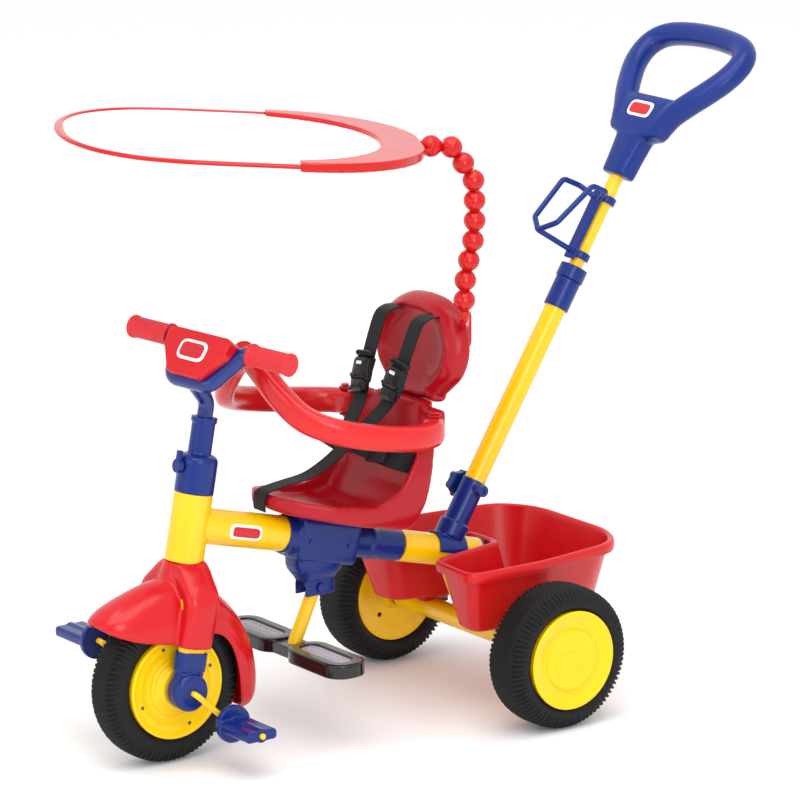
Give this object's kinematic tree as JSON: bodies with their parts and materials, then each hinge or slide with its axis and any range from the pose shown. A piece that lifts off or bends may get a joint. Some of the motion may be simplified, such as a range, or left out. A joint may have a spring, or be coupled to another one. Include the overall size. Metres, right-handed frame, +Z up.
{
  "type": "children's tricycle with push pole",
  "caption": "Child's steering tricycle with parent push pole, bucket seat with harness, hinged guard ring, fold-away footrest, rear basket, bottle cage and posable sun canopy.",
  "frame": {"origin": "centre of the bottom of the bounding box, on the ground", "axes": "-Y is forward, +Y the rear, +X the rider's left, +Z up"},
  "size_m": [0.5444, 1.1582, 0.9877],
  "materials": {
    "yellow_paint": "gloss powder coat",
    "crank_paint": "gloss paint",
    "blue_paint": "gloss powder coat",
    "blue_plastic": "moulded, glossy",
    "red_plastic": "moulded, glossy",
    "seat_plastic": "moulded, fine grain",
    "guard_plastic": "blow moulded, polished",
    "basket_plastic": "moulded, satin",
    "fender_plastic": "moulded, glossy",
    "cover_plastic": "moulded, glossy",
    "neck_plastic": "moulded, glossy",
    "canopy_plastic": "moulded, glossy",
    "canopy_wire": "powder coat",
    "canopy_cloth": "woven, white",
    "yellow_plastic": "moulded, glossy",
    "cap_plastic": "moulded, satin",
    "tyre": "blow moulded, dull",
    "grip_rubber": "soft ribbed",
    "webbing": "woven strap",
    "buckle_plastic": "moulded",
    "footrest_plastic": "moulded, glossy",
    "pedal_plastic": "moulded",
    "ring_plastic": "ribbed",
    "handle_plastic": "blow moulded, satin",
    "cage_plastic": "moulded",
    "screw_steel": "zinc plated",
    "axle_steel": "drawn bar",
    "fitting_plastic": "moulded"
  },
  "bodies": {
    "frame": {"head_tube": "yellow_paint", "main_beam": "yellow_paint", "rear_frame": "yellow_paint", "housing_left": "blue_plastic", "housing_right": "blue_plastic", "headset_bushes": "blue_plastic", "beam_end_cap": "blue_plastic", "frame_screws": "screw_steel", "seat_pan": "seat_plastic", "seat_backrest": "seat_plastic", "shoulder_straps": "webbing", "lap_straps": "webbing", "crotch_strap": "webbing", "harness_buckles": "buckle_plastic", "guard_pins": "blue_plastic", "basket": "basket_plastic", "rear_axle": "axle_steel", "axle_fittings": "fitting_plastic", "pole_socket": "blue_plastic", "pole_lower_tube": "yellow_paint", "pole_lock_sleeve": "blue_plastic", "gooseneck_base": "red_plastic"},
    "steering": {"fork": "yellow_paint", "fork_ends": "blue_plastic", "fender": "fender_plastic", "steering_coupler": "blue_plastic"},
    "handlebar": {"handlebar": "blue_paint", "handlebar_cover": "cover_plastic", "grips": "grip_rubber"},
    "release_knob": {"release_knob": "blue_plastic"},
    "front_wheel": {"front_tyre": "tyre", "front_rims": "yellow_plastic", "crank": "crank_paint"},
    "pedal_left": {"pedal_left": "pedal_plastic"},
    "pedal_right": {"pedal_right": "pedal_plastic"},
    "rear_wheel_left": {"rear_tyre_left": "tyre", "rear_rim_left": "yellow_plastic", "rear_cap_left": "cap_plastic"},
    "rear_wheel_right": {"rear_tyre_right": "tyre", "rear_rim_right": "yellow_plastic", "rear_cap_right": "cap_plastic"},
    "pole_top": {"pole_upper_tube": "yellow_paint", "handle_shell_front": "handle_plastic", "handle_shell_back": "handle_plastic", "bottle_cage": "cage_plastic"},
    "pole_lock_ring": {"pole_lock_ring": "ring_plastic"},
    "pole_knob": {"pole_knob": "blue_plastic"},
    "guard_arm_left": {"guard_arm_left": "guard_plastic"},
    "guard_arm_right": {"guard_arm_right": "guard_plastic"},
    "footrest": {"footrest_post": "yellow_paint", "footrest_platforms": "footrest_plastic"},
    "canopy": {"canopy_yoke": "canopy_plastic", "canopy_hoop": "canopy_wire", "canopy_fabric": "canopy_cloth"},
    "gooseneck_1": {"gooseneck_link_1": "neck_plastic"},
    "gooseneck_2": {"gooseneck_link_2": "neck_plastic"},
    "gooseneck_3": {"gooseneck_link_3": "neck_plastic"},
    "gooseneck_4": {"gooseneck_link_4": "neck_plastic"},
    "gooseneck_5": {"gooseneck_link_5": "neck_plastic"}
  },
  "joints": [
    {"name": "steer", "type": "hinge", "parent": "frame", "child": "steering", "pos_m": [0.00954, -0.42249, 0.3014], "axis": [0, 0.1908, 0.9816], "range_deg": [-30, 30]},
    {"name": "handlebar_clutch", "type": "hinge", "parent": "steering", "child": "handlebar", "pos_m": [0.00954, -0.42249, 0.3014], "axis": [0, 0.1908, 0.9816], "range_deg": [-30, 14]},
    {"name": "clutch_knob", "type": "hinge", "parent": "steering", "child": "release_knob", "pos_m": [0.00954, -0.39612, 0.4369], "axis": [0, -0.9816, 0.1908], "range_deg": [0, 90]},
    {"name": "front_wheel_spin", "type": "hinge", "parent": "steering", "child": "front_wheel", "pos_m": [0.00954, -0.46052, 0.1186], "axis": [1, 0, 0], "continuous": true},
    {"name": "pedal_left_spin", "type": "hinge", "parent": "front_wheel", "child": "pedal_left", "pos_m": [0.00954, -0.4064, 0.06813], "axis": [1, 0, 0], "continuous": true},
    {"name": "pedal_right_spin", "type": "hinge", "parent": "front_wheel", "child": "pedal_right", "pos_m": [0.00954, -0.51464, 0.16907], "axis": [1, 0, 0], "continuous": true},
    {"name": "rear_wheel_left_spin", "type": "hinge", "parent": "frame", "child": "rear_wheel_left", "pos_m": [0.00954, 0.10248, 0.11], "axis": [1, 0, 0], "continuous": true},
    {"name": "rear_wheel_right_spin", "type": "hinge", "parent": "frame", "child": "rear_wheel_right", "pos_m": [0.00954, 0.10248, 0.11], "axis": [1, 0, 0], "continuous": true},
    {"name": "pole_slide", "type": "slide", "parent": "frame", "child": "pole_top", "axis": [0, 0.5314, 0.8471], "range_m": [0, 0.08]},
    {"name": "pole_ring_turn", "type": "hinge", "parent": "frame", "child": "pole_lock_ring", "pos_m": [0.00954, 0.06268, 0.2512], "axis": [0, 0.5314, 0.8471], "range_deg": [0, 90]},
    {"name": "pole_knob_turn", "type": "hinge", "parent": "frame", "child": "pole_knob", "pos_m": [0.00954, 0.10785, 0.32321], "axis": [1, 0, 0], "continuous": true},
    {"name": "guard_left_swing", "type": "hinge", "parent": "frame", "child": "guard_arm_left", "pos_m": [0.12355, -0.04752, 0.462], "axis": [0, 0, -1], "range_deg": [-11, 0]},
    {"name": "guard_right_swing", "type": "hinge", "parent": "frame", "child": "guard_arm_right", "pos_m": [-0.10446, -0.04752, 0.462], "axis": [0, 0, -1], "range_deg": [0, 55]},
    {"name": "footrest_fold", "type": "hinge", "parent": "frame", "child": "footrest", "pos_m": [0.00954, -0.18752, 0.219], "axis": [1, 0, 0], "range_deg": [0, 50]},
    {"name": "gooseneck_bend_1", "type": "hinge", "parent": "frame", "child": "gooseneck_1", "pos_m": [0.13154, 0.00348, 0.6388], "axis": [0.8862, -0.4633, 0], "range_deg": [-4, 4]},
    {"name": "gooseneck_bend_2", "type": "hinge", "parent": "gooseneck_1", "child": "gooseneck_2", "pos_m": [0.13351, 0.00723, 0.69933], "axis": [0.8862, -0.4633, 0], "range_deg": [-4, 4]},
    {"name": "gooseneck_bend_3", "type": "hinge", "parent": "gooseneck_2", "child": "gooseneck_3", "pos_m": [0.13827, 0.01634, 0.75917], "axis": [0.8862, -0.4633, 0], "range_deg": [-4, 4]},
    {"name": "gooseneck_bend_4", "type": "hinge", "parent": "gooseneck_3", "child": "gooseneck_4", "pos_m": [0.13851, 0.01681, 0.8199], "axis": [0.8862, -0.4633, 0], "range_deg": [-4, 4]},
    {"name": "gooseneck_bend_5", "type": "hinge", "parent": "gooseneck_4", "child": "gooseneck_5", "pos_m": [0.12696, -0.00528, 0.8737], "axis": [0.8862, -0.4633, 0], "range_deg": [-4, 4]},
    {"name": "canopy_tilt", "type": "hinge", "parent": "gooseneck_5", "child": "canopy", "pos_m": [0.10177, -0.05346, 0.88981], "axis": [0.8862, -0.4633, 0], "range_deg": [-4, 4]}
  ]
}
